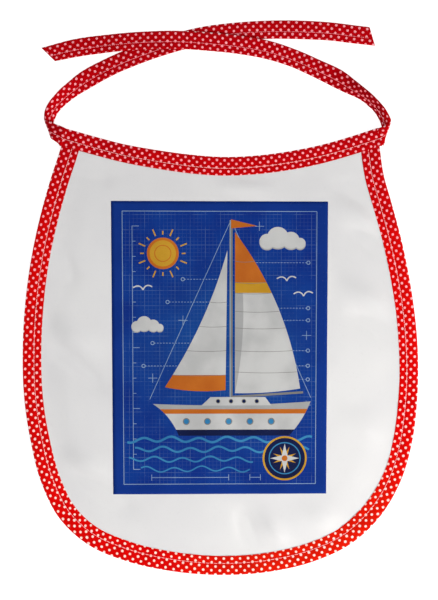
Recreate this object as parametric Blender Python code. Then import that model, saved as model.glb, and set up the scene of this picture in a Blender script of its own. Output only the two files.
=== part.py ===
"""A baby's tie-on bib, lying flat with its printed face up.

White face cloth and a towelling back are sewn together at the rim by folded bias tape. One tape
covers the sides and the bottom hem. A second covers the neckline and runs on past both corners
as the two ties, which turn under at the corners, loop round the neck opening and cross.

Metres, +Z up. X runs across the bib, +Y towards the neck, and the surface it lies on is Z = 0.
"""

import math

import bmesh
import bpy
from mathutils import Vector
from mathutils.geometry import interpolate_bezier

# Bias tape: the finished width when folded over the rim, and one wing's thickness
TAPE_WIDTH = 0.012
WING = 0.0005
FOLD_RADIUS = 0.0012
# The free tie is the same tape folded on itself and stitched shut
TIE_THICKNESS = 0.001
# A tie lies flat until its edges come closer than this
BOWS_UNDER = 0.0110
# For a shallow arc, its rise squared over its chord times what its length has to spare
ARC_RISE = 0.375

# Cloth thicknesses. Towelling is pressed thin under the tape and stands full in the middle
FACE_CLOTH = 0.0004
TOWELLING_PRESSED = 0.0012
PRINT_FILM = 0.0002
# Room between pieces that lie on each other
GAP = 0.0003

# Heights of the layers above the surface, from the bottom up
TOWELLING_BOTTOM = WING + GAP
TOWELLING_TOP = TOWELLING_BOTTOM + TOWELLING_PRESSED
FACE_BOTTOM = TOWELLING_TOP + GAP
FACE_TOP = FACE_BOTTOM + FACE_CLOTH
TAPE_TOP = FACE_TOP + GAP + WING
PRINT_BOTTOM = FACE_TOP + GAP

# How far the cloth's cut edge lies inside the tape's outer fold
CUT_EDGE = WING + GAP
# The towelling's full-height middle starts just inside the tape's lower wing
MIDDLE_EDGE = TAPE_WIDTH + 0.0005

# Printed picture: its width and height, and its centre on the bib
PRINT_SIZE = (0.1412, 0.1928)
PRINT_CENTRE = (-0.0003, 0.0018)

# Distance between points along the rim, and the number of steps between two points of a tie
RIM_STEP = 0.0075
TIE_STEPS = 4
TIE_COLUMNS = 4

# Outer edge of the bib, from the left neck corner down, round the hem and up to the right one
SIDES_AND_HEM = [
    (-0.1018, 0.1465), (-0.1048, 0.1350), (-0.1119, 0.1129), (-0.1192, 0.0864),
    (-0.1247, 0.0600), (-0.1283, 0.0336), (-0.1301, 0.0030), (-0.1290, -0.0324),
    (-0.1250, -0.0588), (-0.1183, -0.0853), (-0.1054, -0.1107), (-0.0874, -0.1271),
    (-0.0623, -0.1380), (-0.0320, -0.1447), (0.0010, -0.1472), (0.0340, -0.1448),
    (0.0620, -0.1380), (0.0860, -0.1265), (0.1037, -0.1102), (0.1184, -0.0856),
    (0.1261, -0.0590), (0.1293, -0.0324), (0.1300, -0.0080), (0.1282, 0.0204),
    (0.1244, 0.0469), (0.1190, 0.0732), (0.1122, 0.0986), (0.1073, 0.1161),
    (0.1047, 0.1340), (0.1033, 0.1468),
]
# Upper edge of the neckline tape, from the left corner to the right one
NECKLINE = [
    (-0.1018, 0.1465), (-0.0847, 0.1417), (-0.0636, 0.1362), (-0.0425, 0.1324),
    (-0.0214, 0.1295), (0.0010, 0.1278), (0.0234, 0.1287), (0.0458, 0.1316),
    (0.0682, 0.1362), (0.0867, 0.1415), (0.1029, 0.1467),
]

# Heights of a tie's middle surface: where it leaves the rim, and lying on the surface
ROOT = TAPE_TOP / 2
LAID = TIE_THICKNESS / 2
# Lying over the other tie it is this much higher, out to the first distance from that tie's
# middle line, and back down at the second
LIFT = TIE_THICKNESS + GAP
LIFTED_TO = 0.008
LAID_FROM = 0.013

# Each tie as the places of its two edges, from the neck corner to the cut end. The first edge
# carries on from the neckline's upper edge. At the corner the tape rolls under itself, and its
# outer edge stands up until it has come round the loop. The left tie lies under the right one
LEFT_TIE = [
    ((-0.1021, 0.1466, ROOT), (-0.1054, 0.1351, ROOT)),
    ((-0.1038, 0.1476, 0.0023), (-0.1069, 0.1370, 0.0025)),
    ((-0.1061, 0.1486, 0.0027), (-0.1085, 0.1381, 0.0031)),
    ((-0.1085, 0.1495, 0.0028), (-0.1098, 0.1390, 0.0033)),
    ((-0.1107, 0.1505, 0.0028), (-0.1109, 0.1398, 0.0030)),
    ((-0.1129, 0.1512, 0.0027), (-0.1116, 0.1404, 0.0024)),
    ((-0.1147, 0.1517, 0.0024), (-0.1119, 0.1408, 0.0018)),
    ((-0.1158, 0.1523, 0.0020), (-0.1119, 0.1414, 0.0012)),
    ((-0.1164, 0.1534, 0.0018), (-0.1118, 0.1426, 0.0008)),
    ((-0.1164, 0.1550, 0.0019), (-0.1115, 0.1445, 0.0006)),
    ((-0.1162, 0.1571, 0.0026), (-0.1111, 0.1476, LAID)),
    ((-0.1154, 0.1594, 0.0036), (-0.1105, 0.1510, LAID)),
    ((-0.1140, 0.1621, 0.0047), (-0.1094, 0.1540, LAID)),
    ((-0.1119, 0.1650, 0.0055), (-0.1076, 0.1575, LAID)),
    ((-0.1087, 0.1687, 0.0058), (-0.1044, 0.1612, LAID)),
    ((-0.1054, 0.1724, 0.0054), (-0.1001, 0.1650, LAID)),
    ((-0.1014, 0.1761, 0.0043), (-0.0953, 0.1685, LAID)),
    ((-0.0934, 0.1832, 0.0022), (-0.0867, 0.1737, LAID)),
    ((-0.0769, 0.1926, 0.0008), (-0.0715, 0.1822, LAID)),
    ((-0.0553, 0.2018, LAID), (-0.0509, 0.1909, LAID)),
    ((-0.0335, 0.2090, LAID), (-0.0305, 0.1977, LAID)),
    ((-0.0116, 0.2143, LAID), (-0.0102, 0.2027, LAID)),
    ((0.0099, 0.2170, LAID), (0.0105, 0.2053, LAID)),
    ((0.0313, 0.2183, LAID), (0.0313, 0.2065, LAID)),
    ((0.0526, 0.2183, LAID), (0.0522, 0.2063, LAID)),
    ((0.0740, 0.2170, LAID), (0.0730, 0.2053, LAID)),
    ((0.0900, 0.2150, LAID), (0.0886, 0.2034, LAID)),
    ((0.0985, 0.2140, LAID), (0.1020, 0.2020, LAID)),
]
RIGHT_TIE = [
    ((0.1033, 0.1468, ROOT), (0.1070, 0.1354, ROOT)),
    ((0.1045, 0.1470, 0.0024), (0.1072, 0.1363, 0.0021)),
    ((0.1057, 0.1474, 0.0032), (0.1073, 0.1370, 0.0022)),
    ((0.1070, 0.1478, 0.0041), (0.1074, 0.1376, 0.0021)),
    ((0.1086, 0.1486, 0.0054), (0.1077, 0.1383, 0.0018)),
    ((0.1101, 0.1494, 0.0068), (0.1078, 0.1390, 0.0014)),
    ((0.1113, 0.1502, 0.0080), (0.1080, 0.1400, 0.0011)),
    ((0.1117, 0.1510, 0.0086), (0.1080, 0.1410, 0.0009)),
    ((0.1115, 0.1521, 0.0090), (0.1079, 0.1424, 0.0007)),
    ((0.1108, 0.1536, 0.0093), (0.1076, 0.1445, 0.0006)),
    ((0.1099, 0.1554, 0.0095), (0.1071, 0.1469, LAID)),
    ((0.1088, 0.1573, 0.0096), (0.1063, 0.1496, LAID)),
    ((0.1077, 0.1590, 0.0096), (0.1053, 0.1523, LAID)),
    ((0.1050, 0.1623, 0.0096), (0.1028, 0.1568, LAID)),
    ((0.1016, 0.1660, 0.0094), (0.0988, 0.1613, LAID)),
    ((0.0980, 0.1696, 0.0087), (0.0941, 0.1652, LAID)),
    ((0.0935, 0.1737, 0.0071), (0.0885, 0.1683, LAID)),
    ((0.0883, 0.1784, 0.0046), (0.0827, 0.1707, LAID)),
    ((0.0816, 0.1842, 0.0020), (0.0759, 0.1740, LAID)),
    ((0.0652, 0.1924, 0.0007), (0.0606, 0.1817, LAID)),
    ((0.0492, 0.1994, LAID), (0.0451, 0.1886, LAID)),
    ((0.0323, 0.2047, LAID), (0.0302, 0.1931, LAID)),
    ((0.0109, 0.2084, LAID), (0.0095, 0.1968, LAID)),
    ((-0.0106, 0.2104, LAID), (-0.0112, 0.1987, LAID)),
    ((-0.0320, 0.2114, LAID), (-0.0320, 0.1997, LAID)),
    ((-0.0534, 0.2109, LAID), (-0.0529, 0.1992, LAID)),
    ((-0.0749, 0.2090, LAID), (-0.0736, 0.1974, LAID)),
    ((-0.0964, 0.2061, LAID), (-0.0942, 0.1947, LAID)),
    ((-0.1184, 0.2003, LAID), (-0.1095, 0.1917, LAID)),
]

# Colours seen: a little grey in the whites, since neither cloth is bright
TAPE_RED = (0.60, 0.008, 0.014, 1.0)
FACE_WHITE = (0.78, 0.77, 0.76, 1.0)
TOWELLING_WHITE = (0.74, 0.73, 0.71, 1.0)
PRINT_BLUE = (0.012, 0.045, 0.24, 1.0)


def material(name, colour, roughness):
    """A plain cloth or ink material."""
    made = bpy.data.materials.new(name)
    made.use_nodes = True
    shader = made.node_tree.nodes["Principled BSDF"]
    shader.inputs["Base Color"].default_value = colour
    shader.inputs["Roughness"].default_value = roughness
    shader.inputs["Metallic"].default_value = 0.0
    made.diffuse_color = colour
    return made


def curve_through(points, steps):
    """A smooth curve through the points, with that many steps from each point to the next."""
    points = [Vector(p).to_3d() for p in points]
    chords = [(b - a).length for a, b in zip(points, points[1:])]
    slopes = [(b - a) / c for a, b, c in zip(points, points[1:], chords)]
    tangents = [slopes[0]]
    for i in range(1, len(points) - 1):
        before, after = chords[i - 1], chords[i]
        tangents.append((slopes[i - 1] * after + slopes[i] * before) / (before + after))
    tangents.append(slopes[-1])
    line = [points[0]]
    for i, chord in enumerate(chords):
        handles = tangents[i] * chord / 3, tangents[i + 1] * chord / 3
        ends = points[i], points[i + 1]
        line += interpolate_bezier(ends[0], ends[0] + handles[0], ends[1] - handles[1], ends[1], steps + 1)[1:]
    return line


def evenly(line, step):
    """The line again, with its points evenly spaced and about step apart."""
    lengths = [(b - a).length for a, b in zip(line, line[1:])]
    count = round(sum(lengths) / step)
    spacing = sum(lengths) / count
    out, travelled, i = [line[0].copy()], 0.0, 0
    for k in range(1, count):
        while travelled + lengths[i] < k * spacing:
            travelled += lengths[i]
            i += 1
        out.append(line[i].lerp(line[i + 1], (k * spacing - travelled) / lengths[i]))
    return out + [line[-1].copy()]


def inward_normals(line):
    """At each point, the level direction to the left of the way the line runs."""
    normals = []
    for i in range(len(line)):
        along = line[min(i + 1, len(line) - 1)] - line[max(i - 1, 0)]
        normals.append(Vector((-along.y, along.x, 0)).normalized())
    return normals


def rim_lines():
    """The sides and hem, and the neckline, both run so that the cloth is on their left."""
    sides = evenly(curve_through(SIDES_AND_HEM, 8), RIM_STEP)
    neckline = evenly(curve_through(NECKLINE[::-1], 8), RIM_STEP)
    return sides, neckline


def offset_line(line, distance):
    return [p + n * distance for p, n in zip(line, inward_normals(line))]


def crossing(first, second):
    """Where two level lines cross: the segment numbers on each, and the point."""
    for i, (a, b) in enumerate(zip(first, first[1:])):
        for j, (c, d) in enumerate(zip(second, second[1:])):
            r, s, w = b - a, d - c, c - a
            turn = r.x * s.y - r.y * s.x
            if abs(turn) < 1e-15:
                continue
            t, u = (w.x * s.y - w.y * s.x) / turn, (w.x * r.y - w.y * r.x) / turn
            if 0 <= t <= 1 and 0 <= u <= 1:
                return i, j, a + r * t
    raise ValueError("the two lines don't cross")


def cloth_outline(inset):
    """The closed outline of the cloth, that far inside the tape's outer fold all round."""
    sides, neckline = (lengthened(offset_line(line, inset), inset) for line in rim_lines())
    half = len(sides) // 2
    low, from_neck, right = crossing(sides[half:], neckline)
    last_side = half + low
    middle = len(neckline) // 2
    first_side, to_neck, left = crossing(sides[:half], neckline[middle:])
    to_neck += middle
    return [left] + sides[first_side + 1:last_side + 1] + [right] + neckline[from_neck + 1:to_neck + 1]


def lengthened(line, by):
    """The line run on straight at both ends, so that two offset lines still meet at a corner."""
    start = line[0] + (line[0] - line[1]).normalized() * by
    end = line[-1] + (line[-1] - line[-2]).normalized() * by
    return [start] + line + [end]


def add_object(name, mesh, finish):
    mesh.materials.append(finish)
    obj = bpy.data.objects.new(name, mesh)
    bpy.context.scene.collection.objects.link(obj)
    return obj


def mesh_from(bm, name):
    bmesh.ops.recalc_face_normals(bm, faces=bm.faces)
    mesh = bpy.data.meshes.new(name)
    bm.to_mesh(mesh)
    bm.free()
    return mesh


def slab(bm, outline, bottom, top):
    """A flat sheet of cloth cut to the outline."""
    face = bm.faces.new([bm.verts.new((p.x, p.y, bottom)) for p in outline])
    lifted = bmesh.ops.extrude_face_region(bm, geom=[face])
    verts = [v for v in lifted["geom"] if isinstance(v, bmesh.types.BMVert)]
    bmesh.ops.translate(bm, verts=verts, vec=(0, 0, top - bottom))


def face_panel(finish):
    bm = bmesh.new()
    slab(bm, cloth_outline(CUT_EDGE), FACE_BOTTOM, FACE_TOP)
    return add_object("front_panel", mesh_from(bm, "front_panel"), finish)


def towelling_panel(finish):
    """The back, whose middle stands down to the surface inside the tape's lower wing."""
    rim, middle = cloth_outline(CUT_EDGE), cloth_outline(MIDDLE_EDGE)
    bm = bmesh.new()
    top = bm.faces.new([bm.verts.new((p.x, p.y, TOWELLING_TOP)) for p in rim])
    pressed = bmesh.ops.extrude_face_region(bm, geom=[top])
    lowered = [v for v in pressed["geom"] if isinstance(v, bmesh.types.BMVert)]
    bmesh.ops.translate(bm, verts=lowered, vec=(0, 0, TOWELLING_BOTTOM - TOWELLING_TOP))
    underside = next(f for f in pressed["geom"] if isinstance(f, bmesh.types.BMFace))
    rim_edges = list(underside.edges)
    bm.faces.remove(underside)
    step = [bm.verts.new((p.x, p.y, TOWELLING_BOTTOM)) for p in middle]
    step_edges = [bm.edges.new((a, b)) for a, b in zip(step, step[1:] + step[:1])]
    bmesh.ops.triangle_fill(bm, use_beauty=True, edges=rim_edges + step_edges)
    foot = [bm.verts.new((p.x, p.y, 0.0)) for p in middle]
    for i in range(len(step)):
        j = (i + 1) % len(step)
        bm.faces.new((step[i], step[j], foot[j], foot[i]))
    bm.faces.new(foot)
    return add_object("back_panel", mesh_from(bm, "back_panel"), finish)


def tape_section():
    """The tape's section as (distance in from the outer fold, height), a U with a round back."""
    outer = [(TAPE_WIDTH, 0.0)]
    for centre, start in ((FOLD_RADIUS, -90), (TAPE_TOP - FOLD_RADIUS, 180)):
        for k in range(4):
            turn = math.radians(start - 30 * k)
            outer.append((FOLD_RADIUS + FOLD_RADIUS * math.cos(turn), centre + FOLD_RADIUS * math.sin(turn)))
    outer.append((TAPE_WIDTH, TAPE_TOP))
    inner = [(TAPE_WIDTH, TAPE_TOP - WING), (WING, TAPE_TOP - WING), (WING, WING), (TAPE_WIDTH, WING)]
    return outer + inner


def swept(name, line, section, finish):
    """A section carried along a level line, with its first value measured in from the line."""
    bm = bmesh.new()
    rings = []
    for point, normal in zip(line, inward_normals(line)):
        rings.append([bm.verts.new(point + normal * reach + Vector((0, 0, height))) for reach, height in section])
    for ring, following in zip(rings, rings[1:]):
        for k in range(len(section)):
            m = (k + 1) % len(section)
            bm.faces.new((ring[k], ring[m], following[m], following[k]))
    bm.faces.new(rings[0])
    bm.faces.new(rings[-1][::-1])
    return add_object(name, mesh_from(bm, name), finish)


def bound_rim(finish):
    """The two folded tapes. The side tape stops where the neckline tape crosses it."""
    sides, neckline = rim_lines()
    neck = swept("neck_binding", neckline, tape_section(), finish)
    edge = swept("edge_binding", sides, tape_section(), finish)
    reach = TAPE_WIDTH + GAP
    tall = TAPE_TOP * 2
    zone = [(-reach, -tall), (-reach, tall), (reach, tall), (reach, -tall)]
    cutter = swept("neck_zone_cutter", lengthened(neckline, TAPE_WIDTH), zone, finish)
    cutter.hide_render = True
    cutter.display_type = "WIRE"
    cut = edge.modifiers.new("stop_at_neck_tape", "BOOLEAN")
    cut.operation = "DIFFERENCE"
    cut.object = cutter
    return neck, edge


def across(first, second, along):
    """Points from one edge of a tie to the other. Where the edges stand much closer than the tape
    is wide, the cloth between them bows up by what its width needs."""
    chord = second - first
    spare = max(BOWS_UNDER - chord.length, 0.0)
    bow = math.sqrt(ARC_RISE * chord.length * spare)
    up = chord.cross(along).normalized()
    if up.z < 0:
        up.negate()
    shares = [k / TIE_COLUMNS for k in range(TIE_COLUMNS + 1)]
    return [first + chord * t + up * bow * 4 * t * (1 - t) for t in shares]


def tie_edges(places):
    """The two edges as smooth lines that nowhere dip into the surface."""
    edges = [curve_through([p[k] for p in places], TIE_STEPS) for k in range(2)]
    for edge in edges:
        for point in edge:
            point.z = max(point.z, LAID)
    return edges


def lift_over(point, places):
    """How much higher cloth lies at this point because of the tie that lies under it."""
    distance = min((a.lerp(b, 0.5) - point).xy.length for a, b in zip(*tie_edges(places)))
    share = (LAID_FROM - distance) / (LAID_FROM - LIFTED_TO)
    share = min(max(share, 0.0), 1.0)
    return LIFT * share * share * (3 - 2 * share)


def tie(name, places, finish, lies_on=None):
    """A free tie: the surface between its two edges, given the tape's thickness."""
    firsts, seconds = tie_edges(places)
    bm = bmesh.new()
    rows = []
    for i, (first, second) in enumerate(zip(firsts, seconds)):
        before, after = max(i - 1, 0), min(i + 1, len(firsts) - 1)
        along = firsts[after] + seconds[after] - firsts[before] - seconds[before]
        row = across(first, second, along)
        if lies_on:
            row = [p + Vector((0, 0, lift_over(p, lies_on))) for p in row]
        rows.append([bm.verts.new(p) for p in row])
    for row, following in zip(rows, rows[1:]):
        for k in range(TIE_COLUMNS):
            bm.faces.new((row[k], row[k + 1], following[k + 1], following[k]))
    obj = add_object(name, mesh_from(bm, name), finish)
    thicken = obj.modifiers.new("tape_thickness", "SOLIDIFY")
    thicken.thickness = TIE_THICKNESS
    thicken.offset = 0.0
    thicken.use_even_offset = True
    return obj


def printed_picture(finish):
    half_width, half_height = PRINT_SIZE[0] / 2, PRINT_SIZE[1] / 2
    centre = Vector((*PRINT_CENTRE, 0.0))
    signs = [(-1, -1), (1, -1), (1, 1), (-1, 1)]
    corners = [centre + Vector((x * half_width, y * half_height, 0.0)) for x, y in signs]
    bm = bmesh.new()
    slab(bm, corners, PRINT_BOTTOM, PRINT_BOTTOM + PRINT_FILM)
    return add_object("print_film", mesh_from(bm, "print_film"), finish)


def main():
    for obj in list(bpy.data.objects):
        bpy.data.objects.remove(obj, do_unlink=True)
    tape = material("dotted_bias_tape", TAPE_RED, 0.85)
    face_panel(material("white_face_cloth", FACE_WHITE, 0.7))
    towelling_panel(material("white_towelling", TOWELLING_WHITE, 0.95))
    bound_rim(tape)
    tie("tie_left", LEFT_TIE, tape)
    tie("tie_right", RIGHT_TIE, tape, lies_on=LEFT_TIE)
    printed_picture(material("print_ink", PRINT_BLUE, 0.6))
    for obj in bpy.data.objects:
        obj.data.shade_smooth()
        obj.data.set_sharp_from_angle(angle=math.radians(40))


main()
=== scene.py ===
"""Looks of a baby's tie-on bib, lying flat with its printed face up.

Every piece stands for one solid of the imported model, or is thread sewn through one. Metres, in the
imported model's own frame: X across the bib, +Y towards the neck, and the surface at Z = 0.
"""

import math

import bmesh
import bpy
import numpy as np
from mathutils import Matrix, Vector, noise
from mathutils.geometry import delaunay_2d_cdt


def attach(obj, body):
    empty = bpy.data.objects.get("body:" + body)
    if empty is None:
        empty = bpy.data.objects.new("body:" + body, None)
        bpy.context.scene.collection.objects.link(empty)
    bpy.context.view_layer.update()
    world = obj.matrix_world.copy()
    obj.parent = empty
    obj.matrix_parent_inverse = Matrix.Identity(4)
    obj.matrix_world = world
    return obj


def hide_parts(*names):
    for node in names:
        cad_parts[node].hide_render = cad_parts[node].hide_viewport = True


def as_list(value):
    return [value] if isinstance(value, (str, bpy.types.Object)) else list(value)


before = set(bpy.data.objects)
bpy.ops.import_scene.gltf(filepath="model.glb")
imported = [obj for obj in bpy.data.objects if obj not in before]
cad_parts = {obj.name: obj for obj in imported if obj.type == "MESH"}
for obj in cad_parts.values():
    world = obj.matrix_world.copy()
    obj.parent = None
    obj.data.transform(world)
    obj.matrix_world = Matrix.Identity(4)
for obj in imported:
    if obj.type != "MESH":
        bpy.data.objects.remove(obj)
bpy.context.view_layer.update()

MM = 0.001

# The photograph's width and height in pixels, its scale, and the bib's own zero point in it
PHOTO = (438, 600)
PIXEL = 0.6594 * MM
ZERO_AT = (220.55, 351.2)

# Outer edge of the bib, from the left neck corner down, round the hem and up to the right one
SIDES_AND_HEM = [
    (-0.1018, 0.1465), (-0.1048, 0.1350), (-0.1119, 0.1129), (-0.1192, 0.0864),
    (-0.1247, 0.0600), (-0.1283, 0.0336), (-0.1301, 0.0030), (-0.1290, -0.0324),
    (-0.1250, -0.0588), (-0.1183, -0.0853), (-0.1054, -0.1107), (-0.0874, -0.1271),
    (-0.0623, -0.1380), (-0.0320, -0.1447), (0.0010, -0.1472), (0.0340, -0.1448),
    (0.0620, -0.1380), (0.0860, -0.1265), (0.1037, -0.1102), (0.1184, -0.0856),
    (0.1261, -0.0590), (0.1293, -0.0324), (0.1300, -0.0080), (0.1282, 0.0204),
    (0.1244, 0.0469), (0.1190, 0.0732), (0.1122, 0.0986), (0.1073, 0.1161),
    (0.1047, 0.1340), (0.1033, 0.1468),
]
# Upper edge of the neckline tape, from the left corner to the right one
NECKLINE = [
    (-0.1018, 0.1465), (-0.0847, 0.1417), (-0.0636, 0.1362), (-0.0425, 0.1324),
    (-0.0214, 0.1295), (0.0010, 0.1278), (0.0234, 0.1287), (0.0458, 0.1316),
    (0.0682, 0.1362), (0.0867, 0.1415), (0.1029, 0.1467),
]

# Heights of a tie's middle surface: where it leaves the rim, and lying on the surface
ROOT = 1.75 * MM
LAID = 0.5 * MM

# Each tie as the places of its two edges, from the neck corner to the cut end. The first edge
# carries on from the neckline's upper edge. At the corner the tape rolls under itself along a
# slanted line, and its outer edge stands up until it has come round the loop
LEFT_TIE = [
    ((-0.1021, 0.1466, ROOT), (-0.1054, 0.1351, ROOT)),
    ((-0.1038, 0.1476, 0.0023), (-0.1069, 0.1370, 0.0025)),
    ((-0.1061, 0.1486, 0.0027), (-0.1085, 0.1381, 0.0031)),
    ((-0.1085, 0.1495, 0.0028), (-0.1098, 0.1390, 0.0033)),
    ((-0.1107, 0.1505, 0.0028), (-0.1109, 0.1398, 0.0030)),
    ((-0.1129, 0.1512, 0.0027), (-0.1116, 0.1404, 0.0024)),
    ((-0.1147, 0.1517, 0.0024), (-0.1119, 0.1408, 0.0018)),
    ((-0.1158, 0.1523, 0.0020), (-0.1119, 0.1414, 0.0012)),
    ((-0.1164, 0.1534, 0.0018), (-0.1118, 0.1426, 0.0008)),
    ((-0.1164, 0.1550, 0.0019), (-0.1115, 0.1445, 0.0006)),
    ((-0.1162, 0.1571, 0.0026), (-0.1111, 0.1476, LAID)),
    ((-0.1154, 0.1594, 0.0036), (-0.1105, 0.1510, LAID)),
    ((-0.1140, 0.1621, 0.0047), (-0.1094, 0.1540, LAID)),
    ((-0.1119, 0.1650, 0.0055), (-0.1076, 0.1575, LAID)),
    ((-0.1087, 0.1687, 0.0058), (-0.1044, 0.1612, LAID)),
    ((-0.1054, 0.1724, 0.0054), (-0.1001, 0.1650, LAID)),
    ((-0.1014, 0.1761, 0.0043), (-0.0953, 0.1685, LAID)),
    ((-0.0934, 0.1832, 0.0022), (-0.0867, 0.1737, LAID)),
    ((-0.0769, 0.1926, 0.0008), (-0.0715, 0.1822, LAID)),
    ((-0.0553, 0.2018, LAID), (-0.0509, 0.1909, LAID)),
    ((-0.0335, 0.2090, LAID), (-0.0305, 0.1977, LAID)),
    ((-0.0116, 0.2143, LAID), (-0.0102, 0.2027, LAID)),
    ((0.0099, 0.2170, LAID), (0.0105, 0.2053, LAID)),
    ((0.0313, 0.2183, LAID), (0.0313, 0.2065, LAID)),
    ((0.0526, 0.2183, LAID), (0.0522, 0.2063, LAID)),
    ((0.0740, 0.2170, LAID), (0.0730, 0.2053, LAID)),
    ((0.0900, 0.2150, LAID), (0.0886, 0.2034, LAID)),
    ((0.0985, 0.2140, LAID), (0.1020, 0.2020, LAID)),
]
RIGHT_TIE = [
    ((0.1033, 0.1468, ROOT), (0.1070, 0.1354, ROOT)),
    ((0.1045, 0.1470, 0.0024), (0.1072, 0.1363, 0.0021)),
    ((0.1057, 0.1474, 0.0032), (0.1073, 0.1370, 0.0022)),
    ((0.1070, 0.1478, 0.0041), (0.1074, 0.1376, 0.0021)),
    ((0.1086, 0.1486, 0.0054), (0.1077, 0.1383, 0.0018)),
    ((0.1101, 0.1494, 0.0068), (0.1078, 0.1390, 0.0014)),
    ((0.1113, 0.1502, 0.0080), (0.1080, 0.1400, 0.0011)),
    ((0.1117, 0.1510, 0.0086), (0.1080, 0.1410, 0.0009)),
    ((0.1115, 0.1521, 0.0090), (0.1079, 0.1424, 0.0007)),
    ((0.1108, 0.1536, 0.0093), (0.1076, 0.1445, 0.0006)),
    ((0.1099, 0.1554, 0.0095), (0.1071, 0.1469, LAID)),
    ((0.1088, 0.1573, 0.0096), (0.1063, 0.1496, LAID)),
    ((0.1077, 0.1590, 0.0096), (0.1053, 0.1523, LAID)),
    ((0.1050, 0.1623, 0.0096), (0.1028, 0.1568, LAID)),
    ((0.1016, 0.1660, 0.0094), (0.0988, 0.1613, LAID)),
    ((0.0980, 0.1696, 0.0087), (0.0941, 0.1652, LAID)),
    ((0.0935, 0.1737, 0.0071), (0.0885, 0.1683, LAID)),
    ((0.0883, 0.1784, 0.0046), (0.0827, 0.1707, LAID)),
    ((0.0816, 0.1842, 0.0020), (0.0759, 0.1740, LAID)),
    ((0.0652, 0.1924, 0.0007), (0.0606, 0.1817, LAID)),
    ((0.0492, 0.1994, LAID), (0.0451, 0.1886, LAID)),
    ((0.0323, 0.2047, LAID), (0.0302, 0.1931, LAID)),
    ((0.0109, 0.2084, LAID), (0.0095, 0.1968, LAID)),
    ((-0.0106, 0.2104, LAID), (-0.0112, 0.1987, LAID)),
    ((-0.0320, 0.2114, LAID), (-0.0320, 0.1997, LAID)),
    ((-0.0534, 0.2109, LAID), (-0.0529, 0.1992, LAID)),
    ((-0.0749, 0.2090, LAID), (-0.0736, 0.1974, LAID)),
    ((-0.0964, 0.2061, LAID), (-0.0942, 0.1947, LAID)),
    ((-0.1184, 0.2003, LAID), (-0.1095, 0.1917, LAID)),
]

# Bias tape: its finished width, and where the seam runs as a share of that width from the fold
TIE_WIDTH = 11.9 * MM
SEAM = 0.61
# A soft fold stands this much proud of its pressed line
PROUD = 0.3 * MM
# For a shallow arc, its rise squared over its chord times what its length has to spare
ARC_RISE = 0.375
# A tape bows up across its width as t * t * (1 - t) does, which this brings to 1 at its highest
BOW_SHAPE = 27 / 4
# Height of the tape's middle surface round the rim
RIM_MIDDLE = 1.8 * MM
# Distance between one ring of a tape's mesh and the next
RING_STEP = 0.7 * MM
# The side tape's ends stop this far short of the corners, inside the neck tape
TUCKED_IN = 2.5 * MM
# Dimples along the seam: how far the tape puffs up between them in mm, and how wide they are as a
# share of its width
SEAM_PUFF = 0.10
SEAM_REACH = 0.10
# The neck tape's upper wing is raised by LAP_RISE mm up to LAP from its ends and a little beyond
LAP = 8 * MM
LAP_RISE = 0.5
# Under it the side tape is pressed, easing off over a length: a share flatter, and higher in mm
PRESSED_FROM = 9 * MM
PRESSED_OVER = 4 * MM
FLATTER = 0.27
HIGHER = 0.12
# One tie lifts the other within this distance of its own middle, easing in over a length
TIE_LIFT = 1.35 * MM
LIFTED_WITHIN = 13 * MM
LIFTED_OVER = 6 * MM
# A tie's section closes from the neck tape's to its own over this length, and starts this many mm
# higher than the neck tape's
SHUT_OVER = 7 * MM
ROOT_OVER = 0.06

# The tape's section, once round from the upper wing's edge: how far in from the fold as a share
# of the width, and height above the middle surface in mm
BOUND_SECTION = [
    (1.000, 0.98), (0.998, 1.12), (0.988, 1.16), (0.850, 1.31), (0.720, 1.42), (0.610, 1.28),
    (0.533, 1.58), (0.417, 1.86), (0.292, 2.02), (0.160, 2.08), (0.060, 2.07), (0.020, 2.02),
    (0.006, 1.80), (0.000, 1.00), (0.006, -0.80), (0.092, -1.45), (0.208, -1.75), (0.333, -1.78),
    (0.533, -1.64), (0.610, -1.48), (0.683, -1.64), (0.833, -1.77), (0.967, -1.75), (1.000, -1.55),
    (0.985, -1.28), (0.610, -1.20), (0.100, -1.20), (0.075, 0.00), (0.100, 1.10), (0.610, 0.93),
    (0.985, 0.93),
]
TIE_SECTION = [
    (1.000, 0.22), (0.996, 0.36), (0.982, 0.42), (0.800, 0.47), (0.683, 0.38), (0.610, 0.24),
    (0.533, 0.38), (0.417, 0.48), (0.292, 0.52), (0.183, 0.51), (0.092, 0.44), (0.040, 0.34),
    (0.012, 0.22), (0.000, 0.00), (0.012, -0.22), (0.092, -0.44), (0.208, -0.52), (0.333, -0.52),
    (0.533, -0.38), (0.610, -0.24), (0.683, -0.38), (0.833, -0.48), (0.967, -0.42), (0.990, -0.30),
    (0.985, -0.06), (0.610, -0.03), (0.100, -0.03), (0.080, 0.00), (0.100, 0.03), (0.610, 0.03),
    (0.985, 0.06),
]

# For each section point: 1 on the upper wing, -1 on the lower one, 0 where one turns to the other
SECTION_SIDES = np.array([1] * 13 + [0] + [-1] * 13 + [0] + [1] * 3)
# Numbers of section points: where the lining of the fold starts, which no unevenness moves, the
# fold's upper and lower corners, and the two seams
LINING_FROM = 24
TOP_CORNER = 11
LOW_CORNER = 15
TOP_SEAM = 5
LOW_SEAM = 19

# Dots on the tape: across each, along the tape from one to the next, and from row to row
DOT = 1.66 * MM
DOT_PITCH = 5.3 * MM
DOT_ROW = 2.6 * MM

# The dots' own distances on each tape, as it was stretched when sewn
SIDE_PITCH = 5.42 * MM
NECK_PITCH = 5.25 * MM
TIE_PITCH = 5.17 * MM
TIE_ROW = 2.50 * MM
# How far dots stray from their places and radii from each other, and how ragged their edges are
DOT_STRAY = 0.16 * MM
DOT_UNEVEN = 0.12 * MM
DOT_RAGGED = 0.25 * MM

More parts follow.
